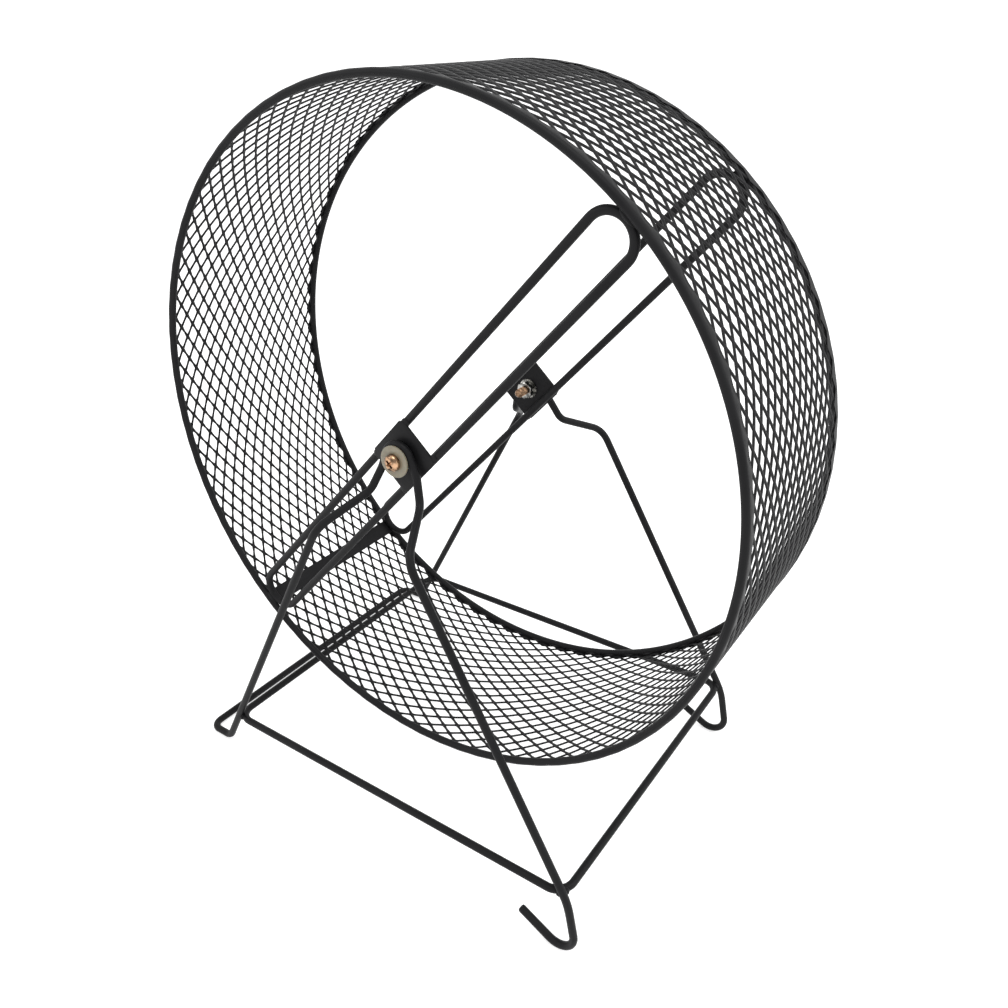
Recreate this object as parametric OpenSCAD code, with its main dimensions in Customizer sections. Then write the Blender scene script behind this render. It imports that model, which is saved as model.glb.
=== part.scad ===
// Rodent exercise wheel: a mesh drum between two rim wires, hung by two screws in a bent wire stand.
// X runs left to right, Y along the axle, Z up. The origin is on the floor below the axle.

/* [Drum] */
// Outside diameter of the drum, over the mesh
drum_d = 280; // [250:1:310]
// Width of the drum between the middles of its two rim wires
drum_w = 87.6; // [78:0.2:110]
// Thickness of the rim wire
rim_wire = 3.4; // [3:0.1:4]
// Thickness of the mesh sheet
mesh_t = 0.8; // [0.6:0.1:1.2]
// Width of the closed edge of the mesh, along which it is welded to the rim wire
selvedge = 1.2; // [1:0.1:2.5]

/* [Mesh] */
// Diamonds round the drum in one row
mesh_columns = 27; // [20:1:27]
// Whole diamonds across the drum in one column
mesh_rows = 5; // [3:1:5]
// Width of one strand of the mesh
strand_w = 1.7; // [1.2:0.1:2.4]

/* [Seam strip] */
// Width of the flat strip that covers the joint of the mesh
seam_w = 7.5; // [6:0.1:10]

/* [Spokes] */
// Thickness of the spoke wire
spoke_wire = 3.2; // [2.8:0.1:3.6]
// Distance between the middles of the two runs of a spoke loop
spoke_gap = 18; // [15:0.1:20]
// Angle of the spoke loops above the floor
spoke_angle = 50; // [30:0.1:60]
// How far a spoke loop lies inside the plane of its rim
spoke_inset = 1.4; // [1:0.1:2.6]

/* [Hub plates] */
// Length of a hub plate along the spokes
plate_l = 23.5; // [20:0.5:30]
// How far a plate stands out past the spoke wire on each side
plate_lip = 0.4; // [0.1:0.1:1]
// Thickness of a hub plate
plate_t = 1.2; // [1:0.1:2]
// Size of the clipped corners of a plate
plate_clip = 1.2; // [0.5:0.1:2]

/* [Axle screws] */
// Diameter of the screw
screw_d = 4; // [3.5:0.1:4.4]
// Length of the screw under its head
screw_l = 16; // [15:0.5:18]
// Diameter of the pan head
head_d = 7; // [6.6:0.1:8]
// Height of the pan head
head_h = 2.6; // [2:0.1:3]
// Width of the nut across its flats
nut_af = 7; // [6.4:0.1:7.2]
// Height of the nut
nut_h = 3.2; // [2.6:0.1:3.4]
// Diameter of the toothed lock washer
lock_d = 9; // [8.5:0.1:9.5]
// Thickness of the lock washer
lock_t = 0.8; // [0.6:0.1:1]
// Teeth round the lock washer
lock_teeth = 12; // [8:1:14]
// Diameter of the outer nylon washers
nylon_d = 13.2; // [12.6:0.1:14]
// Thickness of the outer nylon washers
nylon_t = 1; // [0.8:0.1:1.4]
// Diameter of the inner nylon washers, which hide behind the stand wire
spacer_d = 10; // [9.4:0.1:10.6]
// Thickness of the inner nylon washers
spacer_t = 0.8; // [0.6:0.1:1.2]

/* [Bearing sleeves] */
// Outside diameter of a sleeve
sleeve_d = 9.8; // [9.4:0.1:10.2]
// Length of a sleeve
sleeve_l = 3.4; // [3.4:0.1:4]
// Running clearance between screw and sleeve, on the radius
run_clear = 0.06; // [0.04:0.01:0.08]
// End play between a sleeve and each nylon washer
end_play = 0.2; // [0.15:0.05:0.3]

/* [Stand] */
// Thickness of the stand wire
stand_wire_d = 3.2; // [2.8:0.1:3.2]
// Distance from the bottom of the drum down to the middle of the runner wire
under_drum = 27.5; // [24:0.5:40]
// Height of the base ring above the runner wire
ring_up = 17; // [12:0.5:20]
// How much lower the hooks reach than the runner wire
hook_extra = 11; // [8:0.5:14]
// Lean of the two necks under the axle, away from upright
neck_lean = 21.6; // [20:0.1:26]
// Drop of the neck's lower bend under the axle
neck_drop = 15.3; // [14.5:0.1:20]
// Distance from the rim to the outer side of the shoulder bend, along the axle
leg_clear = 28.7; // [22:0.1:36]
// Distance from the axle to the shoulder bend, across
shoulder_out = 23.4; // [22:0.1:30]
// Drop of the shoulder bend under the axle
shoulder_drop = 25.9; // [24:0.1:32]
// Lean of the legs away from upright
leg_lean = 29; // [24:0.1:32]
// How much further apart the feet are than the shoulders, each side, along the axle
leg_splay = 2.1; // [0:0.1:6]
// How far the runner wire lies outside the feet
runner_out = 13.8; // [12:0.1:18]
// Radius of the hooks at the middle of the wire
hook_r = 7.5; // [6:0.5:9]
// Length of the straight tail of a hook
hook_tail = 15.5; // [8:0.5:20]

/* [Hidden] */
// Overlap of two pieces where they are welded
weld = 0.25;
// Gap round the screw in plates and washers, and bite of the thread in the nut, on the radius
hole_clear = 0.1;
thread_bite = 0.05;
// Depth of the notches of the lock washer
notch_depth = 0.75;
// Where the neck under the axle starts, and how far its lower bend stands out along the axle
neck_top = 5;
neck_flare = 3.6;
// Radii of the bends in the stand wire, at its middle
neck_bend = 8;
shoulder_bend = 11.5;
foot_bend = 5;
kink_bend = 30;
// Lean of the straight parts of a hook: above its bend, and its tail
hook_lean = 10;
tail_rise = 29;
// Rounding of a wire's cut end, as a share of its thickness
end_round = 0.2;
// Angle between two cross sections in a bend, and sides of a bent wire
bend_step = 16;
wire_sides = 10;
round_fn = 72;

// Drum
mesh_r = drum_d / 2;
mesh_in = mesh_r - mesh_t;
rim_y = drum_w / 2;

// The rim wire is flush with the mesh outside, and the edge of the mesh runs onto its inner side
rim_r = mesh_r - rim_wire / 2;
mesh_edge = rim_y - sqrt(pow(rim_wire / 2, 2) - pow(mesh_in - rim_r, 2)) + weld;

// Spoke loops: the rounded ends touch the rim wire from inside
loop_y = rim_y - spoke_inset;
loop_touch = (rim_wire + spoke_wire) / 2 - weld;
loop_end = rim_r - sqrt(pow(loop_touch, 2) - pow(spoke_inset, 2));
loop_run = loop_end - spoke_gap / 2;

// The seam strip fills the space between the spoke ends and the mesh
seam_in = loop_end + spoke_wire / 2 - weld;
seam_t = mesh_in - seam_in;

// Stack of pieces along the axle, from the plate outwards
plate_y = loop_y + spoke_wire / 2 - weld / 2;
inner_nylon_y = plate_y + plate_t;
sleeve_y = inner_nylon_y + spacer_t + end_play;
outer_nylon_y = sleeve_y + sleeve_l + end_play;
head_y = outer_nylon_y + nylon_t;
plate_w = spoke_gap + spoke_wire + 2 * plate_lip;
hole_d = screw_d + 2 * hole_clear;

// Stand, in a frame with the axle at its origin
crook_y = sleeve_y + sleeve_l / 2;
crook_r = sleeve_d / 2 + stand_wire_d / 2 - weld;
shoulder_y = rim_y + leg_clear;
foot_y = shoulder_y + leg_splay;
neck_y = crook_y + neck_flare;
foot_drop = drum_d / 2 + under_drum;
ring_drop = foot_drop - ring_up;
hook_drop = foot_drop + hook_extra;
function leg_x(drop) = shoulder_out + (drop - shoulder_drop) * tan(leg_lean);
function leg_y(drop) = shoulder_y + leg_splay * (drop - shoulder_drop) / (foot_drop - shoulder_drop);
neck_x = (crook_r + neck_drop * sin(neck_lean)) / cos(neck_lean);
runner_x = leg_x(foot_drop) + runner_out;

// The hook: a kink just under the base ring, a round bend and a tail that rises inwards
kink_drop = ring_drop + stand_wire_d;
hook_z = hook_r - hook_drop;
hook_fall = hook_drop - hook_r - hook_r * sin(hook_lean) - kink_drop;
hook_x = leg_x(kink_drop) + hook_fall * tan(hook_lean) - hook_r * cos(hook_lean);
hook_turn = 90 + hook_lean + tail_rise;
hook_corner = hook_r / cos(hook_turn / 2);

// The stand leans until the runner and both hooks touch the floor
span = norm([hook_x + runner_x, hook_z + foot_drop]);
stand_lean = asin(hook_r / span) - atan2(hook_z + foot_drop, hook_x + runner_x);
axle_z = runner_x * sin(stand_lean) + foot_drop * cos(stand_lean) + stand_wire_d / 2;

// Base ring, in hundredths of a millimetre: its corners are rounded so that the arcs touch the legs inside
function hundredths(x) = round(x * 100) / 100;
ring_x = hundredths(leg_x(ring_drop));
ring_y = hundredths(leg_y(ring_drop));
ring_touch = (stand_wire_d - weld) / sqrt(1 - pow(sin(leg_lean), 2) / 2);
ring_corner = hundredths(ring_touch / (sqrt(2) - 1));

// Places its children on the axle, with Z of the child pointing outwards along the axle.
// side is -1 at the front and 1 at the back.
module on_axle(side, y) {
    translate([0, side * y, axle_z]) rotate([-side * 90, 0, 0]) children();
}

// A point of the drum's sheet: a turn in degrees, a place along the axle and a radius
function drum_point(turn, y, r) = [r * cos(turn), y, r * sin(turn)];

// Points on one rounded corner at b, between the points a and c
function corner(a, b, c, r) =
    let (u = (a - b) / norm(a - b), v = (c - b) / norm(c - b),
        half = acos(u * v) / 2,
        middle = b + (u + v) / norm(u + v) * r / sin(half),
        from = b + u * r / tan(half) - middle,
        to = b + v * r / tan(half) - middle,
        turn = 180 - 2 * half,
        steps = max(2, ceil(turn / bend_step)))
    [for (t = [0:steps])
        middle + (from * sin(turn * (1 - t / steps)) + to * sin(turn * t / steps)) / sin(turn)];

// The middle line of a bent wire from its corners and their bend radii
function bent_path(points, radii) =
    let (last = len(points) - 1)
    [for (i = [0:last])
        each i == 0 || i == last ? [points[i]] : corner(points[i - 1], points[i], points[i + 1], radii[i])];

function unit(v) = v / norm(v);
function across(v, along) = unit(v - along * (v * along));

// A round wire along a path, with its two ends rounded over
module wire_along(path, d) {
    last = len(path) - 1;
    step = [for (i = [0:last - 1]) unit(path[i + 1] - path[i])];
    along = [for (i = [0:last]) i == 0 ? step[0] : i == last ? step[last - 1] : unit(step[i - 1] + step[i])];
    side = [for (i = 0, s = across([0, 1, 0.3], along[0]); i <= last;
        i = i + 1, s = i <= last ? across(s, along[i]) : s) s];
    round_in = d * end_round;
    function ring(at, i, r) = [for (k = [0:wire_sides - 1]) let (turn = 360 * k / wire_sides)
        at + r * (side[i] * cos(turn) + cross(along[i], side[i]) * sin(turn))];
    rings = [
        ring(path[0], 0, d / 2 - round_in),
        ring(path[0] + along[0] * round_in, 0, d / 2),
        for (i = [1:last - 1]) ring(path[i], i, d / 2),
        ring(path[last] - along[last] * round_in, last, d / 2),
        ring(path[last], last, d / 2 - round_in)];
    count = len(rings);
    polyhedron([for (r = rings) each r], [
        [for (k = [0:wire_sides - 1]) k],
        for (i = [0:count - 2], k = [0:wire_sides - 1])
            let (n = (k + 1) % wire_sides, a = i * wire_sides, b = a + wire_sides)
            [a + k, b + k, b + n, a + n],
        [for (k = [wire_sides - 1:-1:0]) (count - 1) * wire_sides + k]]);
}

// One rim: a closed ring of wire
module rim(side) {
    color("#1c1d1f") on_axle(side, rim_y)
        rotate_extrude($fn = round_fn * 2) translate([rim_r, 0]) circle(d = rim_wire, $fn = 32);
}

// The expanded-metal sheet of the drum. The sheet is tiled with rhombs, each with a smaller rhomb cut
// out of it. Columns and rows are counted in half diamonds, so a rhomb sits where their sum is even.
module mesh_band() {
    columns = 2 * mesh_columns;
    inner = mesh_edge - selvedge;
    half_l = PI * drum_d / columns;
    half_w = inner / mesh_rows;
    open = 1 - strand_w / 2 * norm([half_l, half_w]) / (half_l * half_w);
    edge_open = strand_w / 2 / half_w;
    rows = [for (b = [-mesh_rows:mesh_rows]) b];

    // Layer 0 is the outer skin of the sheet and layer 1 the inner one
    skin = [mesh_r, mesh_in];
    function at(a, b, layer) = drum_point(a * 360 / columns, b * half_w, skin[layer]);
    knots = [for (b = rows, a = [0:columns - 1]) each [at(a, b, 0), at(a, b, 1)]];
    rails = [for (end = [-1, 1], a = [0:columns - 1])
        each [for (layer = [0, 1]) drum_point(a * 360 / columns, end * mesh_edge, skin[layer])]];
    cells = [for (b = rows, a = [0:columns - 1]) if ((a + b + mesh_rows) % 2 == 0) [a, b]];
    function hole(a, b) =
        abs(b) < mesh_rows ? [[a - open, b], [a, b - open], [a + open, b], [a, b + open]]
        : let (end = sign(b), lip = b - end * edge_open, reach = open - edge_open)
            [[a - reach, lip], [a, b - end * open], [a + reach, lip], [a, lip]];
    holes = [for (c = cells) each [for (p = hole(c[0], c[1])) each [at(p[0], p[1], 0), at(p[0], p[1], 1)]]];

    function wrap(a) = (a + columns) % columns;
    function knot(a, b, layer) = 2 * ((b + mesh_rows) * columns + wrap(a)) + layer;
    function rail(a, end, layer) = len(knots) + 2 * ((end + 1) / 2 * columns + wrap(a)) + layer;
    function hole_point(cell, k, layer) = len(knots) + len(rails) + 8 * cell + 2 * (k % 4) + layer;
    // The rim of a cell, in the order of its hole's points
    function around(a, b) = abs(b) < mesh_rows ? [[a - 1, b], [a, b - 1], [a + 1, b], [a, b + 1]]
        : [[a - 1, b], [a, b - sign(b)], [a + 1, b], [a, b]];
    // Four points in a ring, as two triangles
    function two(flip, a, b, c, d) = flip ? [[c, b, a], [d, c, a]] : [[a, b, c], [a, c, d]];

    cell_faces = [for (c = [0:len(cells) - 1])
        let (a = cells[c][0], b = cells[c][1], ring = around(a, b), flip = b == -mesh_rows)
        for (k = [0:3])
            let (p = ring[k], q = ring[(k + 1) % 4],
                 p0 = knot(p[0], p[1], 0), q0 = knot(q[0], q[1], 0),
                 p1 = knot(p[0], p[1], 1), q1 = knot(q[0], q[1], 1),
                 g0 = hole_point(c, k, 0), h0 = hole_point(c, k + 1, 0),
                 g1 = hole_point(c, k, 1), h1 = hole_point(c, k + 1, 1))
            each [each two(flip, p0, q0, h0, g0), each two(!flip, p1, q1, h1, g1),
                  each two(flip, g0, h0, h1, g1)]];
    rail_faces = [for (end = [-1, 1], a = [0:columns - 1])
        let (b = end * mesh_rows, flip = end < 0,
             p0 = knot(a, b, 0), q0 = knot(a + 1, b, 0), g0 = rail(a, end, 0), h0 = rail(a + 1, end, 0),
             p1 = knot(a, b, 1), q1 = knot(a + 1, b, 1), g1 = rail(a, end, 1), h1 = rail(a + 1, end, 1))
        each [each two(flip, p0, q0, h0, g0), each two(!flip, p1, q1, h1, g1),
              each two(flip, g0, h0, h1, g1)]];
    color("#222326") translate([0, 0, axle_z])
        polyhedron([each knots, each rails, each holes], [each cell_faces, each rail_faces]);
}

// The flat strip that covers the joint of the mesh, between the rims, behind the lower spoke ends
module seam_strip() {
    length = 2 * (rim_y - rim_wire / 2 + weld);
    color("#1a1b1d") translate([0, 0, axle_z]) rotate([0, -spoke_angle - 180, 0])
        translate([seam_in, -length / 2, -seam_w / 2]) cube([seam_t, length, seam_w]);
}

// One spoke loop: two straight runs joined by half circles
module spoke_loop(side) {
    color("#1c1d1f") on_axle(side, loop_y) rotate(-side * spoke_angle) {
        for (s = [-1, 1]) {
            translate([-loop_run, s * spoke_gap / 2, 0]) rotate([0, 90, 0])
                cylinder(d = spoke_wire, h = 2 * loop_run, $fn = 32);
            translate([s * loop_run, 0, 0]) rotate(-s * 90)
                rotate_extrude(angle = 180, $fn = round_fn) translate([spoke_gap / 2, 0])
                    circle(d = spoke_wire, $fn = 32);
        }
    }
}

// One hub plate, welded across both runs of a spoke loop
module hub_plate(side) {
    x = plate_l / 2;
    y = plate_w / 2;
    c = plate_clip;
    color("#1a1b1d") on_axle(side, plate_y) rotate(-side * spoke_angle)
        difference() {
            linear_extrude(plate_t) polygon([[x, c - y], [x, y - c], [x - c, y], [c - x, y],
                [-x, y - c], [-x, c - y], [c - x, -y], [x - c, -y]]);
            translate([0, 0, -1]) cylinder(d = hole_d, h = plate_t + 2, $fn = round_fn);
        }
}

// Pan-head screw with a cross recess. It turns with the wheel and is the axle on its side.
module axle_screw(side) {
    slot = head_d / 7;
    color("#c9964f") on_axle(side, head_y) {
        translate([0, 0, -screw_l]) cylinder(d = screw_d, h = screw_l, $fn = round_fn);
        difference() {
            rotate_extrude($fn = round_fn) polygon([[0, 0], [head_d / 2, 0], [head_d / 2, head_h * 0.45],
                for (t = [15:15:75]) [head_d / 2 * (0.4 + 0.6 * cos(t)), head_h * (0.45 + 0.55 * sin(t))],
                [0, head_h]]);
            for (t = [0, 90]) rotate(45 + t) translate([0, 0, head_h])
                cube([head_d * 0.58, slot, head_h], center = true);
        }
    }
}

// Hexagon nut on the inner end of the screw, with its corners turned off at both faces
module nut(side) {
    corner_d = nut_af / cos(30);
    color("#d8d5cc") on_axle(side, plate_y - lock_t - nut_h) difference() {
        intersection() {
            cylinder(d = corner_d, h = nut_h, $fn = 6);
            cylinder(d1 = nut_af, d2 = nut_af + 3 * nut_h, h = nut_h, $fn = round_fn);
            cylinder(d1 = nut_af + 3 * nut_h, d2 = nut_af, h = nut_h, $fn = round_fn);
        }
        translate([0, 0, -1]) cylinder(d = screw_d - 2 * thread_bite, h = nut_h + 2, $fn = round_fn);
    }
}

// Toothed washer between nut and plate
module lock_washer(side) {
    notch = PI * lock_d / lock_teeth / 2;
    color("#c4c6c8") on_axle(side, plate_y - lock_t) difference() {
        cylinder(d = lock_d, h = lock_t, $fn = round_fn);
        translate([0, 0, -1]) cylinder(d = hole_d, h = lock_t + 2, $fn = round_fn);
        for (i = [0:lock_teeth - 1]) rotate(360 * i / lock_teeth)
            translate([lock_d / 2, 0, lock_t / 2]) cube([2 * notch_depth, notch, 2 * lock_t], center = true);
    }
}

// Flat nylon washer at one end of the sleeve
module nylon_washer(side, y, d, t) {
    color("#cfc8b4") on_axle(side, y) difference() {
        cylinder(d = d, h = t, $fn = round_fn);
        translate([0, 0, -1]) cylinder(d = hole_d, h = t + 2, $fn = round_fn);
    }
}

// Steel sleeve welded into the crook of the stand wire. The screw turns in it.
module bearing_sleeve(side) {
    color("#2a2b2d") on_axle(side, sleeve_y) difference() {
        cylinder(d = sleeve_d, h = sleeve_l, $fn = round_fn);
        translate([0, 0, -1]) cylinder(d = screw_d + 2 * run_clear, h = sleeve_l + 2, $fn = round_fn);
    }
}

// Turns a stand point about the axle until the stand is level on the floor, and lifts it
module on_floor() {
    translate([0, 0, axle_z]) rotate([0, -stand_lean, 0]) children();
}

// The stand: one length of wire from the front hook, over both crooks, to the back hook
module stand_wire() {
    // Half of the wire at one end of the axle, from the hook on the right to the runner on the left
    top = crook_r / sin(neck_lean);
    turn_x = (crook_r + neck_top * sin(neck_lean)) / cos(neck_lean);
    corner_turn = hook_lean - hook_turn / 2;
    tail_x = hook_x - hook_r * sin(tail_rise) - hook_tail * cos(tail_rise);
    tail_z = hook_z - hook_r * cos(tail_rise) + hook_tail * sin(tail_rise);
    function half(s) = [
        [tail_x, s * foot_y, tail_z],
        [hook_x + hook_corner * cos(corner_turn), s * foot_y, hook_z + hook_corner * sin(corner_turn)],
        [leg_x(kink_drop), s * leg_y(kink_drop), -kink_drop],
        [shoulder_out, s * shoulder_y, -shoulder_drop],
        [neck_x, s * neck_y, -neck_drop],
        [turn_x, s * crook_y, -neck_top],
        [0, s * crook_y, top],
        [-turn_x, s * crook_y, -neck_top],
        [-neck_x, s * neck_y, -neck_drop],
        [-shoulder_out, s * shoulder_y, -shoulder_drop],
        [-leg_x(foot_drop), s * foot_y, -foot_drop],
        [-runner_x, s * foot_y, -foot_drop]];
    bends = [0, hook_r, kink_bend, shoulder_bend, neck_bend, neck_bend, crook_r,
        neck_bend, neck_bend, shoulder_bend, foot_bend, foot_bend];
    front = half(-1);
    back = half(1);
    last = len(front) - 1;
    color("#1c1d1f") on_floor() wire_along(
        bent_path([each front, for (i = [last:-1:0]) back[i]], [each bends, for (i = [last:-1:0]) bends[i]]),
        stand_wire_d);
}

// The base ring: a level rounded rectangle of wire, welded to the legs above the feet
module base_ring() {
    run_x = ring_x - ring_corner;
    run_y = ring_y - ring_corner;
    color("#1c1d1f") on_floor() translate([0, 0, -ring_drop]) {
        for (s = [-1, 1]) {
            translate([-run_x, s * ring_y, 0]) rotate([0, 90, 0])
                cylinder(d = stand_wire_d, h = 2 * run_x, $fn = 32);
            translate([s * ring_x, -run_y, 0]) rotate([-90, 0, 0])
                cylinder(d = stand_wire_d, h = 2 * run_y, $fn = 32);
        }
        for (i = [0:3]) let (x = i == 0 || i == 3 ? 1 : -1, y = i < 2 ? 1 : -1)
            translate([x * run_x, y * run_y, 0]) rotate(90 * i)
                rotate_extrude(angle = 90, $fn = round_fn) translate([ring_corner, 0])
                    circle(d = stand_wire_d, $fn = 32);
    }
}

rim(-1);  // front_rim
rim(1);  // back_rim
mesh_band();
seam_strip();
spoke_loop(-1);  // front_spoke_loop
spoke_loop(1);  // back_spoke_loop
hub_plate(-1);  // front_hub_plate
hub_plate(1);  // back_hub_plate
axle_screw(-1);  // front_axle_screw
axle_screw(1);  // back_axle_screw
nut(-1);  // front_nut
nut(1);  // back_nut
lock_washer(-1);  // front_lock_washer
lock_washer(1);  // back_lock_washer
nylon_washer(-1, outer_nylon_y, nylon_d, nylon_t);  // front_outer_washer
nylon_washer(1, outer_nylon_y, nylon_d, nylon_t);  // back_outer_washer
nylon_washer(-1, inner_nylon_y, spacer_d, spacer_t);  // front_inner_washer
nylon_washer(1, inner_nylon_y, spacer_d, spacer_t);  // back_inner_washer
bearing_sleeve(-1);  // front_bearing_sleeve
bearing_sleeve(1);  // back_bearing_sleeve
stand_wire();
base_ring();
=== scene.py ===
"""Looks of a rodent exercise wheel: a drum of expanded metal that turns on two screws in a wire stand.

Everything is modelled in millimetres and scaled to metres when a piece is done. X runs left to right,
Y along the axle and Z up. side is -1 at the front and 1 at the back.
"""

from math import cos, pi, radians, sin, tan

import bmesh
import bpy
from bmesh.types import BMEdge, BMFace, BMVert
from mathutils import Matrix, Vector, noise


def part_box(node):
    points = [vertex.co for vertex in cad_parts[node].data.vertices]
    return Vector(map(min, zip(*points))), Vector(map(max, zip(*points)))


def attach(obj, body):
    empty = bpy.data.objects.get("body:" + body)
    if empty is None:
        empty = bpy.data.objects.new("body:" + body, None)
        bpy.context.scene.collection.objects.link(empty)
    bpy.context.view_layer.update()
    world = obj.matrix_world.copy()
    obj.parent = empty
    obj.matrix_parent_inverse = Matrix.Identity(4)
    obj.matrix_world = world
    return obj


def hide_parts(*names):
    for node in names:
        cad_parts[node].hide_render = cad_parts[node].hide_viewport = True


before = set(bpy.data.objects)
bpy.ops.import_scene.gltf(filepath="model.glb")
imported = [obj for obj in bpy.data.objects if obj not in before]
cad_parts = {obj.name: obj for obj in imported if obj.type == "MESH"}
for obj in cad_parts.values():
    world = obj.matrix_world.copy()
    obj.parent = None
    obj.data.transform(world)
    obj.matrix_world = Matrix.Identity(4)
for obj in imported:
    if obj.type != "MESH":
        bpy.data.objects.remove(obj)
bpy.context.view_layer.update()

# ------------------------------------------------------------------ studio
# The wheel stands on a plain white floor in front of white, as in a product photograph. Three large
# soft boxes light it: one overhead, one from the front left and one from the right.
mm = 0.001
drum_low, drum_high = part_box("mesh_band")
axle_z = (drum_low.z + drum_high.z) / 2 / mm

# The stand and the camera are measured with the stand level on its base ring. On the floor it leans
# by this much about the axle.
stand_lean = radians(3.069)
on_floor = Matrix.Translation((0, 0, axle_z)) @ Matrix.Rotation(-stand_lean, 4, "Y")

camera_turn, camera_down, camera_roll = radians(35.04), radians(24.98), radians(-1.12)
camera_reach = 386.6
camera_aim = Vector((18.45, 0, -12.76))
camera = bpy.data.objects.new("camera", bpy.data.cameras.new("camera"))
camera.data.sensor_width, camera.data.lens = 36, 32.78
camera.data.shift_x, camera.data.shift_y = -0.0042, -0.0475
camera.data.clip_start, camera.data.clip_end = 0.01, 50
look = (on_floor @ Matrix.Translation(camera_aim) @ Matrix.Rotation(camera_turn, 4, "Z")
        @ Matrix.Rotation(pi / 2 - camera_down, 4, "X") @ Matrix.Rotation(camera_roll, 4, "Z")
        @ Matrix.Translation((0, 0, camera_reach)))
look.translation *= mm
camera.matrix_world = look
bpy.context.scene.collection.objects.link(camera)
bpy.context.scene.camera = camera
bpy.context.scene.view_settings.view_transform = "Standard"

wheel_middle = Vector((0, 0, 0.16))


def soft_box(name, place, size, watts):
    """A square area light that faces the middle of the wheel."""
    light = bpy.data.objects.new(name, bpy.data.lights.new(name, "AREA"))
    light.data.size, light.data.energy = size, watts
    light.location = place
    light.rotation_euler = (wheel_middle - Vector(place)).to_track_quat("-Z", "Y").to_euler()
    bpy.context.scene.collection.objects.link(light)


soft_box("light_above", (0.15, -0.2, 1.5), 0.7, 6)
soft_box("light_front_left", (-1.1, -1.1, 0.9), 0.4, 2.5)
soft_box("light_right", (1.2, 0.4, 1.1), 0.8, 7)

world = bpy.data.worlds.new("white_room")
world.use_nodes = True
room = world.node_tree.nodes["Background"]
room.inputs["Color"].default_value = (1, 1, 1, 1)
room.inputs["Strength"].default_value = 1.25
bpy.context.scene.world = world

floor_r = 12
floor_shape = bmesh.new()
bmesh.ops.create_circle(floor_shape, cap_ends=True, segments=64, radius=floor_r)
floor_mesh = bpy.data.meshes.new("floor")
floor_shape.to_mesh(floor_mesh)
floor_shape.free()
floor = bpy.data.objects.new("floor", floor_mesh)
bpy.context.scene.collection.objects.link(floor)
floor_white = bpy.data.materials.new("floor_white")
floor_white.use_nodes = True
paper = floor_white.node_tree.nodes["Principled BSDF"]
paper.inputs["Base Color"].default_value = (0.6, 0.6, 0.6, 1)
paper.inputs["Roughness"].default_value = 0.9
paper.inputs["Specular IOR Level"].default_value = 0
paper.inputs["Emission Color"].default_value = (1, 1, 1, 1)
paper.inputs["Emission Strength"].default_value = 0.6
floor.data.materials.append(floor_white)

# ------------------------------------------------------------------ rims
# Each end of the drum is a ring of round steel wire, closed by a weld. The edge of the mesh is rolled
# over it and welded on, so little of the wire itself is seen. All of it is powder-coated black.
ends = ((-1, "front"), (1, "back"))
rim_low, rim_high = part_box("front_rim")
rim_d = (rim_high.y - rim_low.y) / mm
rim_r = (rim_high.z - rim_low.z) / mm / 2 - rim_d / 2
rim_y = -(rim_low.y + rim_high.y) / mm / 2
rim_steps = 300

# A rim is measured over the edge of the mesh, so its wire is thinner by this all round
rolled_t = 0.15


def mottled(name, scale, detail, spread, shades, gloss=None):
    """A finish whose colour wanders between two shades, and its roughness round gloss where given."""
    finish = bpy.data.materials.new(name)
    finish.use_nodes = True
    nodes, links = finish.node_tree.nodes, finish.node_tree.links
    surface = nodes["Principled BSDF"]
    place = nodes.new("ShaderNodeTexCoord")
    cloud = nodes.new("ShaderNodeTexNoise")
    cloud.inputs["Scale"].default_value = scale
    cloud.inputs["Detail"].default_value = detail
    shade = nodes.new("ShaderNodeValToRGB")
    for stop, position, colour in zip(shade.color_ramp.elements, spread, shades):
        stop.position, stop.color = position, colour
    links.new(place.outputs["Object"], cloud.inputs["Vector"])
    links.new(cloud.outputs["Fac"], shade.inputs["Fac"])
    links.new(shade.outputs["Color"], surface.inputs["Base Color"])
    if gloss:
        sheen = nodes.new("ShaderNodeMapRange")
        sheen.inputs["To Min"].default_value = gloss - 0.06
        sheen.inputs["To Max"].default_value = gloss + 0.08
        links.new(cloud.outputs["Fac"], sheen.inputs["Value"])
        links.new(sheen.outputs["Result"], surface.inputs["Roughness"])
    return finish


def powder_coat(name, gloss):
    """Black powder coat: satin, a little uneven in shade, with the fine orange peel of baked powder."""
    blacks = ((0.006, 0.006, 0.0066, 1), (0.010, 0.010, 0.0107, 1))
    coat = mottled(name, 45, 4, (0.3, 0.7), blacks, gloss)
    nodes, links = coat.node_tree.nodes, coat.node_tree.links
    paint = nodes["Principled BSDF"]
    paint.inputs["IOR"].default_value = 1.2
    place = nodes.new("ShaderNodeTexCoord")
    peel = nodes.new("ShaderNodeTexNoise")
    peel.inputs["Scale"].default_value = 1400
    peel.inputs["Detail"].default_value = 2
    bump = nodes.new("ShaderNodeBump")
    bump.inputs["Strength"].default_value = 0.25
    bump.inputs["Distance"].default_value = 0.00015
    links.new(place.outputs["Object"], peel.inputs["Vector"])
    links.new(peel.outputs["Fac"], bump.inputs["Height"])
    links.new(bump.outputs["Normal"], paint.inputs["Normal"])
    return coat


def only(kind, geom):
    """The vertices, edges or faces out of what an operator made."""
    return [g for g in geom if isinstance(g, kind)]


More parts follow.
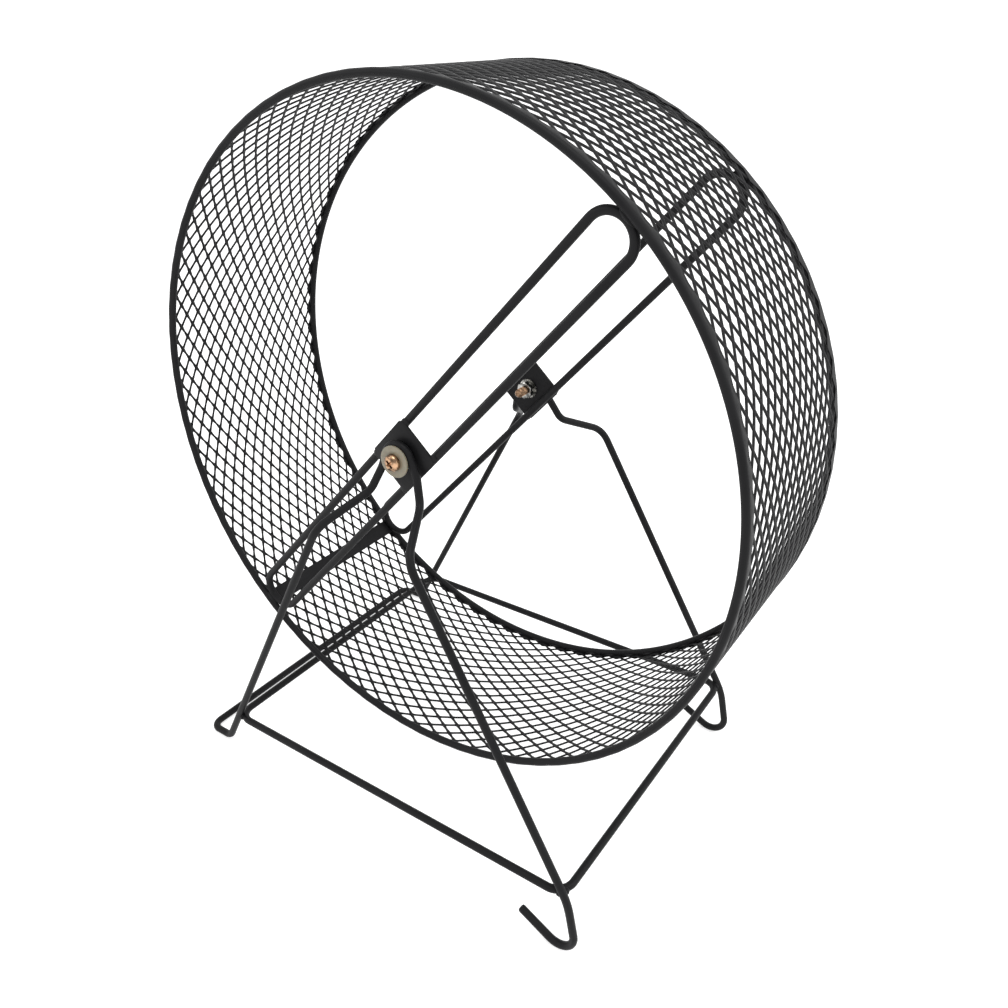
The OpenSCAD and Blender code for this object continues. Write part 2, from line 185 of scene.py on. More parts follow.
def wire(path, thickness, closed=False, flat=None, sides=16):
    """Round wire along a path, its cut ends rounded over. flat is the normal of a flat path."""
    count = len(path)
    run_count = count if closed else count - 1
    runs = [(path[(i + 1) % count] - path[i]).normalized() for i in range(run_count)]
    places = []
    across = flat or runs[0].orthogonal().normalized()
    for i in range(count):
        before = runs[i - 1] if closed else runs[max(i - 1, 0)]
        after = runs[i] if closed else runs[min(i, count - 2)]
        along = (before + after).normalized()
        across = (across - along * across.dot(along)).normalized()
        place = Matrix((across, along.cross(across), along)).transposed().to_4x4()
        place.translation = path[i]
        places.append(place)
    if not closed:
        rounding = [(0.0, 0.5), (0.05, 0.78), (0.14, 0.93), (0.3, 1.0)]
        start = [places[0] @ Matrix.Translation((0, 0, thickness * z)) @ Matrix.Diagonal((r, r, 1, 1))
                 for z, r in rounding]
        end = [places[-1] @ Matrix.Translation((0, 0, -thickness * z)) @ Matrix.Diagonal((r, r, 1, 1))
               for z, r in rounding]
        places = start + places[1:-1] + end[::-1]
    bm = bmesh.new()
    bmesh.ops.create_circle(bm, segments=sides, radius=thickness / 2, matrix=places[0])
    first = edges = list(bm.edges)
    for here, there in zip(places, places[1:]):
        made = bmesh.ops.extrude_edge_only(bm, edges=edges)["geom"]
        edges = only(BMEdge, made)
        bmesh.ops.transform(bm, matrix=there @ here.inverted(), verts=only(BMVert, made))
    if closed:
        bmesh.ops.bridge_loops(bm, edges=first + edges)
    else:
        bmesh.ops.holes_fill(bm, edges=[e for e in bm.edges if e.is_boundary], sides=0)
    bmesh.ops.recalc_face_normals(bm, faces=bm.faces)
    return bm


def add_piece(bm, name, material, body, slot, *nodes, crease=50):
    """Scales a finished shape to metres, paints it and puts it on its body in place of its CAD nodes."""
    bmesh.ops.scale(bm, vec=(mm, mm, mm), verts=bm.verts)
    mesh = bpy.data.meshes.new(name)
    bm.to_mesh(mesh)
    bm.free()
    mesh.shade_smooth()
    mesh.set_sharp_from_angle(angle=radians(crease))
    mesh.materials.append(material)
    piece = bpy.data.objects.new(name, mesh)
    bpy.context.scene.collection.objects.link(piece)
    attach(piece, body)
    if nodes:
        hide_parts(*nodes)
    return piece


rim_black = powder_coat("rim_black", 0.42)
for side, end in ends:
    turns = [2 * pi * i / rim_steps for i in range(rim_steps)]
    circle = [Vector((rim_r * cos(turn), side * rim_y, rim_r * sin(turn) + axle_z)) for turn in turns]
    rim = wire(circle, rim_d - 2 * rolled_t, closed=True, flat=Vector((0, 1, 0)))
    add_piece(rim, end + "_rim_wire", rim_black, "wheel", "rim_paint", end + "_rim")

# ------------------------------------------------------------------ expanded mesh
# The running surface is a strip of expanded metal: a slit sheet pulled open into diamonds, whose strands
# lie at a slant. It is rolled into a drum, and its two edges are closed and rolled over the rim wires.
sheet_r, sheet_t = 139.3, 0.65
pitch, rise = sheet_r * radians(4.54), 6.237
half_rows = 27
half_width = half_rows * rise / 4
spoke_turn = 50
seam_turn = radians(180 + spoke_turn)
first_column = radians(231.42)
merge = 0.01

mesh_black = powder_coat("mesh_black", 0.46)


def everything(bm):
    """All the vertices, edges and faces of a shape."""
    return list(bm.verts) + list(bm.edges) + list(bm.faces)


# One diamond is half of each strand round it: flat on top, then sloping down to the opening. The
# opening is rounder than a diamond, so its corners are drawn in and the middles of its sides pushed out.
strand, strand_flat, strand_slope = 1.2, 0.28, 0.22
tip_in, corner_in, side_out = 0.97, 0.88, 1.1
slant = radians(-1.8)

sheet = bmesh.new()
bmesh.ops.create_circle(sheet, segments=4, radius=1)
bmesh.ops.scale(sheet, vec=(pitch / 2, rise / 2, 1), verts=sheet.verts)
bmesh.ops.subdivide_edges(sheet, edges=sheet.edges, cuts=1)
bmesh.ops.contextual_create(sheet, geom=list(sheet.edges))
diamond = next(iter(sheet.faces))
bmesh.ops.inset_region(sheet, faces=[diamond], thickness=strand * strand_flat, use_even_offset=True,
                       use_boundary=True)
bmesh.ops.translate(sheet, vec=(0, 0, sheet_t / 2), verts=sheet.verts)
bmesh.ops.inset_region(sheet, faces=[diamond], thickness=strand * strand_slope, use_even_offset=True,
                       use_boundary=True)
for v in diamond.verts:
    at_corner, at_tip = abs(v.co.x) < 0.1, abs(v.co.y) < 0.1
    v.co.x *= tip_in if at_tip else 1
    v.co.y *= corner_in if at_corner else side_out
    v.co.z = 0
bmesh.ops.delete(sheet, geom=[diamond], context="FACES_ONLY")
under = bmesh.ops.duplicate(sheet, geom=everything(sheet))["geom"]
bmesh.ops.scale(sheet, vec=(1, 1, -1), verts=only(BMVert, under))
bmesh.ops.reverse_faces(sheet, faces=only(BMFace, under))
bmesh.ops.remove_doubles(sheet, verts=sheet.verts, dist=merge)
shared = {v for e in sheet.edges if e.is_boundary for v in e.verts}
for v in sheet.verts:
    if v not in shared:
        v.co.z += v.co.y * tan(slant)


def repeat(bm, step, times):
    """Adds copies of all that is in bm, one step further each time."""
    cell = everything(bm)
    for i in range(1, times):
        copy = bmesh.ops.duplicate(bm, geom=cell)["geom"]
        bmesh.ops.translate(bm, vec=Vector(step) * i, verts=only(BMVert, copy))


# Two diamonds make a step of the net, and trebling it four times gives 81 columns, a little more than
# the 79.3 that go round the drum
repeat(sheet, (pitch / 2, rise / 2, 0), 2)
repeat(sheet, (0, rise, 0), (half_rows + 1) // 2)
for columns in (1, 3, 9, 27):
    repeat(sheet, (pitch * columns, 0, 0), 3)
bmesh.ops.remove_doubles(sheet, verts=sheet.verts, dist=merge)
bmesh.ops.translate(sheet, vec=(-pitch, -half_width, 0), verts=sheet.verts)


def to_right(x):
    """How near a place along the strip lies to the right of the drum: 1 there, 0 at the left."""
    return (1 + cos(first_column + x / sheet_r)) / 2


# The outer halves of the edge diamonds are pressed flat, which shrinks their openings. The net stands a
# little further in along the front rim, most of all towards the right of the drum.
pressed, opening_size = 0.35, 0.425
edge_open, edge_tip = 0.8, 2.15
gathered, gathered_right = 0.7, 1.2
for v in sheet.verts:
    side = 1 if v.co.y > 0 else -1
    over = v.co.y * side - half_width
    column = v.co.x / pitch - (0.5 if side > 0 else 0)
    off = (column - round(column)) * pitch
    in_opening = abs(off) / pitch + abs(over) / rise < opening_size
    if over > 0:
        over *= 2 * pressed if in_opening else pressed
    if in_opening:
        kept = edge_open + (1 - edge_open) * to_right(v.co.x) if side < 0 else edge_open
        over = (over + edge_tip) * kept - edge_tip
        v.co.x -= off * (1 - kept)
    v.co.y = side * (half_width + over)
    v.co.y += (gathered + gathered_right * to_right(v.co.x)) * (1 - v.co.y / half_width) / 2

# The closed edge reaches in over the net in a scalloped lip and is rolled outwards over the rim wire.
# Its upper and lower layers meet on the outer side of the wire.
rim_z = rim_r - sheet_r
hem_in, hem_wave, tuck_share = 0.05, 0.04, 0.9
hem_r = rim_d / 2 - hem_in
hem_turns, tuck_turn = (-18, 2, 25, 50, 78, 102), 112
inner_z = -0.6
edge_zone = 2
edge_lip, inner_lip, front_lip_right, back_lip_right = 1.2, 0.3, 0.2, 1.0


def scallop(x, side):
    """1 at the middle of an edge diamond, -1 between two of them."""
    return cos(2 * pi * x / pitch + (pi if side > 0 else 0))


def lip(x, side, outside):
    """How far the closed edge reaches in over the net."""
    reach = edge_lip * (1 - scallop(x, side))
    if not outside:
        return reach * inner_lip
    if side < 0:
        return reach * (1 - scallop(x, side)) / 2 * (1 + front_lip_right * to_right(x))
    return reach + back_lip_right * to_right(x)


def on_rim(degrees, r):
    """A place round the rim wire, outwards from straight up: its Y, and its height over the sheet."""
    return rim_y + r * sin(radians(degrees)), rim_z + r * cos(radians(degrees))


tuck = on_rim(tuck_turn, hem_r * tuck_share)
outer_steps = [on_rim(degrees, hem_r) for degrees in hem_turns] + [tuck]
inner_steps = [(outer_steps[0][0], inner_z), tuck]
for side in (-1, 1):
    outline = [e for e in sheet.edges
               if e.is_boundary and all(v.co.y * side > half_width - edge_zone for v in e.verts)]
    outer = [e for e in outline if e.verts[0].co.z > 0]
    inner = [e for e in outline if e.verts[0].co.z < 0]
    for edges, steps in ((outer, outer_steps), (inner, inner_steps)):
        for i, (y, z) in enumerate(steps):
            made = bmesh.ops.extrude_edge_only(sheet, edges=edges)["geom"]
            edges = only(BMEdge, made)
            for v in only(BMVert, made):
                wave = hem_wave * scallop(v.co.x, side)
                reach = lip(v.co.x, side, steps is outer_steps) if i == 0 else 0
                v.co.y, v.co.z = side * (y + wave - reach), z + wave
bmesh.ops.remove_doubles(sheet, verts=sheet.verts, dist=merge)

# The strip is cut to length where its ends meet, and bent round
strip_start = (seam_turn - first_column) * sheet_r
for place, way in ((strip_start, -1), (strip_start + 2 * pi * sheet_r, 1)):
    made = bmesh.ops.bisect_plane(sheet, geom=everything(sheet), dist=0.0001, plane_co=(place, 0, 0),
                                  plane_no=(way, 0, 0), clear_outer=True)["geom_cut"]
    bmesh.ops.holes_fill(sheet, edges=only(BMEdge, made), sides=0)
for v in sheet.verts:
    turn, r = first_column + v.co.x / sheet_r, sheet_r + v.co.z
    v.co = (r * cos(turn), v.co.y, axle_z + r * sin(turn))
bmesh.ops.recalc_face_normals(sheet, faces=sheet.faces)
if sheet.calc_volume(signed=True) < 0:
    bmesh.ops.reverse_faces(sheet, faces=sheet.faces)
add_piece(sheet, "expanded_mesh", mesh_black, "wheel", "mesh_paint", "mesh_band", crease=75)

# ------------------------------------------------------------------ spoke loops
# Each side of the drum hangs on one long loop of wire right across it, closed by a weld. Its rounded
# ends are welded inside the rim, a little inwards of it, and at the lower end onto the seam strip.
spoke_low, spoke_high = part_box("front_spoke_loop")

# Paint makes a wire this much thicker than its steel
paint_t = 0.16
spoke_d = (spoke_high.y - spoke_low.y) / mm + paint_t
spoke_y = -(spoke_low.y + spoke_high.y) / mm / 2
spoke_gap = 18
spoke_run = ((spoke_high.x - spoke_low.x) / mm - spoke_gap - spoke_d) / 2 / cos(radians(spoke_turn))
loop_bead, loop_bead_along, loop_bead_down = (0.9, 3.6, 1.0), 0.5, 0.7
bead_lumps, lump_size = 0.16, 1.4


def on_axle(side, y):
    """A place on the axle whose Z points outwards along it."""
    return Matrix.Translation((0, side * y, axle_z)) @ Matrix.Rotation(-side * pi / 2, 4, "X")


def on_spokes(side, y):
    """The same, with X along the spokes, towards the upper right."""
    return on_axle(side, y) @ Matrix.Rotation(-side * radians(spoke_turn), 4, "Z")


def bead(bm, place, size, seed):
    """A weld bead: a low blob of steel, a little lumpy under the paint."""
    made = bmesh.ops.create_icosphere(bm, subdivisions=3, radius=1)["verts"]
    for v in made:
        v.co *= 1 + bead_lumps * noise.noise(v.co * lump_size + Vector((seed, seed * 0.7, 0)))
    bmesh.ops.transform(bm, matrix=place @ Matrix.Diagonal((*size, 1)), verts=made)


for side, end in ends:
    half_turn = [radians(7.5 * i) for i in range(25)]
    loop = [Vector((spoke_run + spoke_gap / 2 * sin(a), -spoke_gap / 2 * cos(a), 0)) for a in half_turn]
    loop += [Vector((-p.x, -p.y, 0)) for p in loop]
    place = on_spokes(side, spoke_y)
    spokes = wire([place @ p for p in loop], spoke_d, closed=True, flat=Vector((0, 1, 0)))
    add_piece(spokes, end + "_spoke_wire", rim_black, "wheel", "rim_paint", end + "_spoke_loop")
    welds = bmesh.new()
    touch = on_spokes(side, (spoke_y + rim_y) / 2)
    middle = (spoke_run + spoke_gap / 2 + rim_r) / 2
    for i, way in enumerate((-1, 1)):
        for lift in (-1, 1):
            seat = touch @ Matrix.Translation((way * (middle + lift * loop_bead_along), 0,
                                               -lift * loop_bead_down))
            bead(welds, seat, loop_bead, side * 3 + i * 5 + lift)
    add_piece(welds, end + "_spoke_welds", rim_black, "wheel", "rim_paint")

# ------------------------------------------------------------------ seam strip
# A flat steel strip lies across the inside of the drum, over the place where the two ends of the mesh
# meet. It is welded to both ends of the mesh and reaches from rim to rim.
strip_w, strip_t, strip_edge = 7.5, 1.9, 0.35
strip_in = 136.94
strip_into_rim = 0.25
strip_l = 2 * (rim_y - rim_d / 2 + strip_into_rim)


def round_corners(bm, offset, segments):
    """Rounds off every edge of a shape that turns by more than a radian."""
    corners = [e for e in bm.edges if e.calc_face_angle(0) > 1]
    bmesh.ops.bevel(bm, geom=corners, offset=offset, segments=segments, profile=0.5, affect="EDGES",
                    material=-1)


strip = bmesh.new()
bmesh.ops.create_cube(strip, size=1)
bmesh.ops.scale(strip, vec=(strip_t, strip_l, strip_w), verts=strip.verts)
long_edges = [e for e in strip.edges if abs(e.verts[0].co.y - e.verts[1].co.y) > 1]
bmesh.ops.subdivide_edges(strip, edges=long_edges, cuts=11)
round_corners(strip, strip_edge, 3)
on_seam = (Matrix.Translation((0, 0, axle_z)) @ Matrix.Rotation(-seam_turn, 4, "Y")
           @ Matrix.Translation((strip_in + strip_t / 2, 0, 0)))
bmesh.ops.transform(strip, matrix=on_seam, verts=strip.verts)
bmesh.ops.recalc_face_normals(strip, faces=strip.faces)
add_piece(strip, "seam_strip_plate", rim_black, "wheel", "rim_paint", "seam_strip")

# ------------------------------------------------------------------ hub plates
# A small pressed plate with clipped corners is welded across the two runs of each spoke loop and
# carries the axle screw. The welds fill the corner between wire and plate.
plate_l, plate_w, plate_clip, plate_edge = 23.5, 22, 1.2, 0.25
diagonal = 1.414
plate_bead, plate_bead_in, plate_bead_out = (1.8, 1.7, 0.9), 0.3, 0.1


def along_axle(node):
    """How far from the middle of the wheel a piece on the axle starts, and how thick it is."""
    low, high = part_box(node)
    return min(abs(low.y), abs(high.y)) / mm, (high.y - low.y) / mm


for side, end in ends:
    plate_y, plate_t = along_axle(end + "_hub_plate")
    plate = bmesh.new()
    bmesh.ops.create_grid(plate, x_segments=1, y_segments=1, size=0.5)
    bmesh.ops.scale(plate, vec=(plate_l, plate_w, 1), verts=plate.verts)
    bmesh.ops.bevel(plate, geom=list(plate.verts), offset=plate_clip * diagonal, segments=1, profile=0.5,
                    affect="VERTICES", material=-1)
    made = bmesh.ops.extrude_face_region(plate, geom=list(plate.faces))["geom"]
    bmesh.ops.translate(plate, vec=(0, 0, plate_t), verts=only(BMVert, made))
    round_corners(plate, plate_edge, 2)
    bmesh.ops.transform(plate, matrix=on_spokes(side, plate_y), verts=plate.verts)
    bmesh.ops.recalc_face_normals(plate, faces=plate.faces)
    add_piece(plate, end + "_hub_plate_steel", rim_black, "wheel", "rim_paint", end + "_hub_plate")
    welds = bmesh.new()
    for i, (x, y) in enumerate(((-1, -1), (-1, 1), (1, -1), (1, 1))):
        at_corner = Matrix.Translation((x * (plate_l / 2 - plate_bead_in), y * spoke_gap / 2, 0))
        bead(welds, on_spokes(side, plate_y + plate_bead_out) @ at_corner, plate_bead, side * 7 + i)
    add_piece(welds, end + "_hub_plate_welds", rim_black, "wheel", "rim_paint")

# ------------------------------------------------------------------ axle screws
# A yellow zinc-plated pan-head screw with a cross recess goes through washers, stand and plate on each
# side. It turns with the wheel. Its threaded end sticks out of the nut inside the drum.
screw_d, screw_l = 4.0, 16.0
shank_top, shank_tip = 0.1, 0.4
thread_pitch, thread_deep, thread_sunk, thread_short = 0.7, 0.3, 0.02, 0.6
crest_start, crest_end = 0.44, 0.56
head_d, head_h, head_edge = 7.0, 2.6, 0.12
head_flat, head_round = 0.42, 0.58
recess_l, recess_w, recess_deep, recess_taper = head_d * 0.68, head_d * 0.2, 1.3, 0.55


def plated(name, colour, gloss, reflection_dark):
    """Bright plated steel, mottled with painted dark reflections; the last argument is how dark they get.
    """
    # The darker shade is painted reflection: spots where the metal would mirror dark surroundings.
    painted_reflection = [c * reflection_dark for c in colour]
    metal = mottled(name, 420, 4, (0.4, 0.62), ((*painted_reflection, 1), (*colour, 1)), gloss)
    metal.node_tree.nodes["Principled BSDF"].inputs["Metallic"].default_value = 1
    return metal


def turned(profile, closed=False, steps=64):
    """A turned piece: a profile of radius and height points spun round Z."""
    bm = bmesh.new()
    points = [bm.verts.new((r, 0, z)) for r, z in profile]
    edges = [bm.edges.new(pair) for pair in zip(points, points[1:])]
    if closed:
        edges.append(bm.edges.new((points[-1], points[0])))
    bmesh.ops.spin(bm, geom=points + edges, cent=(0, 0, 0), axis=(0, 0, 1), angle=2 * pi, steps=steps,
                   use_merge=True)
    bmesh.ops.remove_doubles(bm, verts=bm.verts, dist=0.0005)
    bmesh.ops.recalc_face_normals(bm, faces=bm.faces)
    return bm


def carve(stock, tool, operation):
    """Cuts a tool's shape out of the stock, or keeps only what lies inside it."""
    blanks = []
    for bm in (stock, tool):
        mesh = bpy.data.meshes.new("blank")
        bm.to_mesh(mesh)
        bm.free()
        blanks.append(bpy.data.objects.new("blank", mesh))
        bpy.context.scene.collection.objects.link(blanks[-1])
    cutter = blanks[0].modifiers.new("cut", "BOOLEAN")
    cutter.object, cutter.operation, cutter.solver, cutter.use_self = blanks[1], operation, "EXACT", True
    result = bmesh.new()
    result.from_object(blanks[0], bpy.context.evaluated_depsgraph_get())
    for blank in blanks:
        bpy.data.objects.remove(blank)
    return result


# The screws' colour darkens in spots to 0.22 of itself: painted dark reflection.
yellow_zinc = plated("yellow_zinc", (0.56, 0.345, 0.21), 0.2, 0.22)
for side, end in ends:
    low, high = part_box(end + "_axle_screw")
    head_top = max(abs(low.y), abs(high.y)) / mm
    arc = [radians(t) for t in range(0, 91, 10)]
    dome = [(head_d / 2 * (head_flat + head_round * cos(a)), head_h * (head_flat + head_round * sin(a)))
            for a in arc]
    head = turned([(0, 0), (head_d / 2 - head_edge, 0), (head_d / 2, head_edge), *dome, (0, head_h)])
    recess = bmesh.new()
    for turn in (45, 135):
        arm = bmesh.ops.create_cube(recess, size=1)["verts"]
        for v in arm:
            taper = 1 if v.co.z > 0 else recess_taper
            x, y, z = v.co
            v.co = (x * recess_l * taper, y * recess_w * taper, z * 2 * recess_deep + head_h)
        spun = Matrix.Rotation(radians(turn), 3, "Z")
        bmesh.ops.rotate(recess, verts=arm, cent=(0, 0, 0), matrix=spun)
    screw = carve(head, recess, "DIFFERENCE")

    # The thread is one ridge wound round a plain core, a little sunk into it
    core_r, ridge_r = screw_d / 2 - thread_deep, screw_d / 2
    root_r = core_r - thread_sunk
    shank = turned([(0, shank_top), (core_r, shank_top), (core_r, shank_tip - screw_l),
                    (core_r - shank_tip, -screw_l), (0, -screw_l)], steps=24)
    thread = bmesh.new()
    ridge = ((root_r, 0), (ridge_r, -thread_pitch * crest_start), (ridge_r, -thread_pitch * crest_end),
             (root_r, -thread_pitch))
    crest = [thread.verts.new((r, 0, z)) for r, z in ridge]
    flank = [thread.edges.new(pair) for pair in zip(crest, crest[1:])]
    turns, steps = int((screw_l - thread_short) / thread_pitch) - 1, 20
    bmesh.ops.spin(thread, geom=crest + flank, cent=(0, 0, 0), axis=(0, 0, 1),
                   dvec=(0, 0, -thread_pitch / steps), angle=2 * pi * turns, steps=steps * turns)
    bmesh.ops.remove_doubles(thread, verts=thread.verts, dist=0.0005)
    bmesh.ops.holes_fill(thread, edges=[e for e in thread.edges if e.is_boundary], sides=0)
    bmesh.ops.recalc_face_normals(thread, faces=thread.faces)
    for part in (shank, thread):
        joined = bpy.data.meshes.new("screw_part")
        part.to_mesh(joined)
        part.free()
        screw.from_mesh(joined)
        bpy.data.meshes.remove(joined)
    bmesh.ops.transform(screw, matrix=on_axle(side, head_top - head_h), verts=screw.verts)
    add_piece(screw, end + "_pan_head_screw", yellow_zinc, "wheel", "yellow_steel", end + "_axle_screw",
              crease=35)

# ------------------------------------------------------------------ nuts and lock washers
# Inside the drum a plain hexagon nut holds the screw, over a washer whose twisted teeth bite into the
# plate. Both are bright zinc-plated steel.
# The nuts' and washers' colour darkens in spots to 0.2 of itself: painted dark reflection.
bright_zinc = plated("bright_zinc", (0.60, 0.59, 0.56), 0.22, 0.2)
nut_af, nut_corner, nut_chamfer = 7.0, 0.5, 0.28
nut_bore_in, nut_flare, nut_mouth = 0.1, 0.25, 0.3
lock_d, lock_teeth, lock_ring_r, lock_in = 9.0, 12, 3.9, 0.1
tooth_l, tooth_w, tooth_in, tooth_twist = 1.5, 1.85, 0.78, radians(12)
for side, end in ends:
    nut_y, nut_h = along_axle(end + "_nut")
    hexagon = bmesh.new()
    corner_r = nut_af / 2 / cos(pi / 6)
    bmesh.ops.create_cone(hexagon, cap_ends=True, segments=6, radius1=corner_r, radius2=corner_r,
                          depth=nut_h, matrix=Matrix.Translation((0, 0, nut_h / 2)))
    flat_r, bore = nut_af / 2, screw_d / 2 - nut_bore_in
    wide_r = flat_r + nut_corner
    chamfer = turned([(screw_d / 2, 0), (flat_r, 0), (wide_r, nut_chamfer), (wide_r, nut_h - nut_chamfer),
                      (flat_r, nut_h), (screw_d / 2 + nut_flare, nut_h), (bore, nut_h - nut_mouth),
                      (bore, nut_mouth)], closed=True)
    nut = carve(hexagon, chamfer, "INTERSECT")
    bmesh.ops.transform(nut, matrix=on_axle(side, nut_y), verts=nut.verts)
    add_piece(nut, end + "_hexagon_nut", bright_zinc, "wheel", "bright_steel", end + "_nut", crease=25)

    lock_y, lock_t = along_axle(end + "_lock_washer")
    bore = screw_d / 2 + lock_in
    washer = turned([(bore, lock_in), (lock_ring_r, lock_in), (lock_ring_r, lock_t - lock_in),
                     (bore, lock_t - lock_in)], closed=True)
    for i in range(lock_teeth):
        tooth = bmesh.ops.create_cube(washer, size=1)["verts"]
        bmesh.ops.scale(washer, vec=(tooth_l, tooth_w, lock_t * 0.5), verts=tooth)
        round_ring = Matrix.Rotation(2 * pi * i / lock_teeth, 4, "Z")
        seat = round_ring @ Matrix.Translation((lock_d / 2 - tooth_in, 0, lock_t / 2))
        bmesh.ops.transform(washer, matrix=seat @ Matrix.Rotation(tooth_twist, 4, "X"), verts=tooth)
    bmesh.ops.transform(washer, matrix=on_axle(side, lock_y), verts=washer.verts)
    add_piece(washer, end + "_toothed_washer", bright_zinc, "wheel", "bright_steel", end + "_lock_washer",
              crease=30)

# ------------------------------------------------------------------ nylon washers
# A flat washer of natural nylon on each side of the stand's crook keeps steel off steel. The outer
# one shows round the screw head. Both are moulded, so their edges are a little soft.
nylon = mottled("natural_nylon", 400, 2, (0, 1), ((0.13, 0.115, 0.08, 1), (0.22, 0.195, 0.14, 1)))
resin = nylon.node_tree.nodes["Principled BSDF"]
resin.inputs["Roughness"].default_value = 0.38
resin.inputs["Subsurface Weight"].default_value = 0.1
resin.inputs["Subsurface Scale"].default_value = 0.001
nylon_play, nylon_soft, nylon_edge = 0.1, 0.22, 0.07
for side, end in ends:
    for layer, nylon_d in (("outer", 13.2), ("inner", 10.0)):
        node = f"{end}_{layer}_washer"
        y, t = along_axle(node)
        r, bore = nylon_d / 2, screw_d / 2 + nylon_play
        ring = turned([(bore, 0), (r - nylon_soft, 0), (r - nylon_edge, nylon_edge), (r, nylon_soft),
                       (r, t - nylon_soft), (r - nylon_edge, t - nylon_edge), (r - nylon_soft, t),
                       (bore + nylon_soft, t), (bore, t - nylon_soft)], closed=True)
        bmesh.ops.transform(ring, matrix=on_axle(side, y), verts=ring.verts)
        add_piece(ring, f"{end}_{layer}_nylon_ring", nylon, "wheel", "nylon", node, crease=60)

# ------------------------------------------------------------------ bearing sleeves
# A short steel sleeve sits in each crook of the stand wire, and the screw turns in it. Only its edge
# can be seen between the washers.
stand_black = powder_coat("stand_black", 0.42)
sleeve_d, sleeve_edge, sleeve_play = 9.8, 0.2, 0.06
for side, end in ends:
    y, sleeve_l = along_axle(end + "_bearing_sleeve")
    r, bore = sleeve_d / 2, screw_d / 2 + sleeve_play
    sleeve = turned([(bore, 0), (r - sleeve_edge, 0), (r, sleeve_edge), (r, sleeve_l - sleeve_edge),
                     (r - sleeve_edge, sleeve_l), (bore, sleeve_l)], closed=True)
    bmesh.ops.transform(sleeve, matrix=on_axle(side, y), verts=sleeve.verts)
    add_piece(sleeve, end + "_sleeve_steel", stand_black, "stand", "stand_paint", end + "_bearing_sleeve")

# ------------------------------------------------------------------ stand wire
# The stand is one length of wire: a hook, a leg, a shoulder and neck, a crook round the axle, down the
# other side to a foot, across as the runner, and back the same way to the second hook. A drop is how
# far a place lies below the axle.
wire_d = 3.2 + paint_t
foot_drop, ring_drop = 167.5, 150.5
shoulder_x, shoulder_y, shoulder_drop = 23.4, 72.5, 25.9
foot_y = 74.6
runner_x = 115.69
crook_y, crook_r, crook_start = 47.775, 6.25, 5
neck_y, neck_drop, neck_lean = 51.375, 15.3, radians(21.6)
neck_x = (crook_r + neck_drop * sin(neck_lean)) / cos(neck_lean)
leg_lean, hook_lean, tail_rise = radians(29), radians(10), radians(29)
hook_x, hook_z, hook_r, hook_tail = 89.675, -171, 7.5, 15.5
kink_bend, shoulder_bend, neck_bend, foot_bend = 30, 11.5, 8, 5


def leg_x(drop):
    """How far out a leg is at a drop below the axle."""
    return shoulder_x + (drop - shoulder_drop) * tan(leg_lean)


def leg_y(drop):
    """How far along the axle a leg is at a drop below the axle."""
    return shoulder_y + (foot_y - shoulder_y) * (drop - shoulder_drop) / (foot_drop - shoulder_drop)


def bend(before, at, after, radius):
    """Points round one bend of a wire."""
    u, v = (before - at).normalized(), (after - at).normalized()
    half = u.angle(v) / 2
    middle = at + (u + v).normalized() * radius / sin(half)
    start, end = at + u * radius / tan(half) - middle, at + v * radius / tan(half) - middle
    turn = pi - 2 * half
    steps = max(3, round(turn / radians(6)))
    return [middle + (start * sin(turn * (1 - i / steps)) + end * sin(turn * i / steps)) / sin(turn)
            for i in range(steps + 1)]


# The hook is one round bend from the leg to its tail. Its corner is where the two would meet.
kink_drop = ring_drop + wire_d
hook_turn = radians(90) + hook_lean + tail_rise
hook_reach, corner_turn = hook_r / cos(hook_turn / 2), hook_lean - hook_turn / 2
corner_x, corner_z = hook_x + hook_reach * cos(corner_turn), hook_z + hook_reach * sin(corner_turn)
tail_x = hook_x - hook_r * sin(tail_rise) - hook_tail * cos(tail_rise)
tail_z = hook_z - hook_r * cos(tail_rise) + hook_tail * sin(tail_rise)
turn_x = (crook_r + crook_start * sin(neck_lean)) / cos(neck_lean)


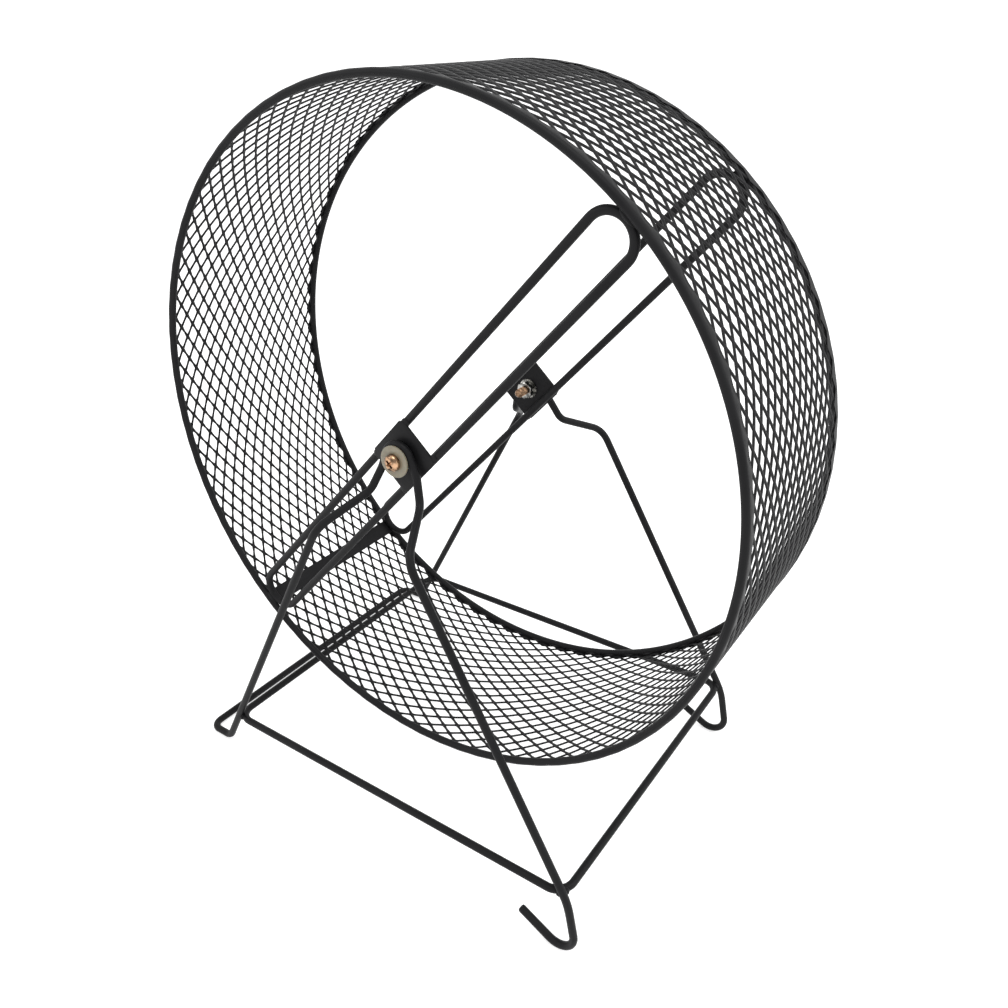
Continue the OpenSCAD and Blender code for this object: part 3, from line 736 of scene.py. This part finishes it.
def half_stand(side):
    """Corners and bend radii of the wire at one end of the axle, from its hook to the runner."""
    return [
        (Vector((tail_x, side * foot_y, tail_z)), 0),
        (Vector((corner_x, side * foot_y, corner_z)), hook_r),
        (Vector((leg_x(kink_drop), side * leg_y(kink_drop), -kink_drop)), kink_bend),
        (Vector((shoulder_x, side * shoulder_y, -shoulder_drop)), shoulder_bend),
        (Vector((neck_x, side * neck_y, -neck_drop)), neck_bend),
        (Vector((turn_x, side * crook_y, -crook_start)), neck_bend),
        (Vector((0, side * crook_y, crook_r / sin(neck_lean))), crook_r),
        (Vector((-turn_x, side * crook_y, -crook_start)), neck_bend),
        (Vector((-neck_x, side * neck_y, -neck_drop)), neck_bend),
        (Vector((-shoulder_x, side * shoulder_y, -shoulder_drop)), shoulder_bend),
        (Vector((-leg_x(foot_drop), side * foot_y, -foot_drop)), foot_bend),
        (Vector((-runner_x, side * foot_y, -foot_drop)), foot_bend)]


corners = half_stand(-1) + half_stand(1)[::-1]
route = [corners[0][0]]
for (before, _), (at, radius), (after, _) in zip(corners, corners[1:], corners[2:]):
    route += bend(before, at, after, radius)
route.append(corners[-1][0])
stand = wire([on_floor @ p for p in route], wire_d)
add_piece(stand, "stand_bent_wire", stand_black, "stand", "stand_paint", "stand_wire")

# ------------------------------------------------------------------ base ring
# A rounded rectangle of the same wire is welded to the insides of the four legs above the feet. Each
# weld fills the corner where ring and leg cross.
ring_x, ring_y, ring_corner = 92.47, 74.35, 7.58
ring_bead = (1.5, 2.7, 2.0)
cos_45 = 0.7071
quarters = ((1, 1), (-1, 1), (-1, -1), (1, -1))
ring_path = []
for i, (x, y) in enumerate(quarters):
    middle = Vector((x * (ring_x - ring_corner), y * (ring_y - ring_corner), -ring_drop))
    turns = [radians(a + 90 * i) for a in range(0, 91, 6)]
    ring_path += [middle + ring_corner * Vector((cos(turn), sin(turn), 0)) for turn in turns]
ring_up = on_floor.to_3x3() @ Vector((0, 0, 1))
ring = wire([on_floor @ p for p in ring_path], wire_d, closed=True, flat=ring_up)
add_piece(ring, "base_ring_wire", stand_black, "stand", "stand_paint", "base_ring")
welds = bmesh.new()
for i, (x, y) in enumerate(quarters):
    inset = ring_corner * (1 - cos_45)
    ring_at = Vector((x * (ring_x - inset), y * (ring_y - inset), -ring_drop))
    leg_at = Vector((x * leg_x(ring_drop), y * leg_y(ring_drop), -ring_drop))
    seat = Matrix.Translation(ring_at.lerp(leg_at, 0.5)) @ Matrix.Rotation(radians(45 + 90 * i), 4, "Z")
    bead(welds, on_floor @ seat, ring_bead, 11 + i)
add_piece(welds, "base_ring_welds", stand_black, "stand", "stand_paint")
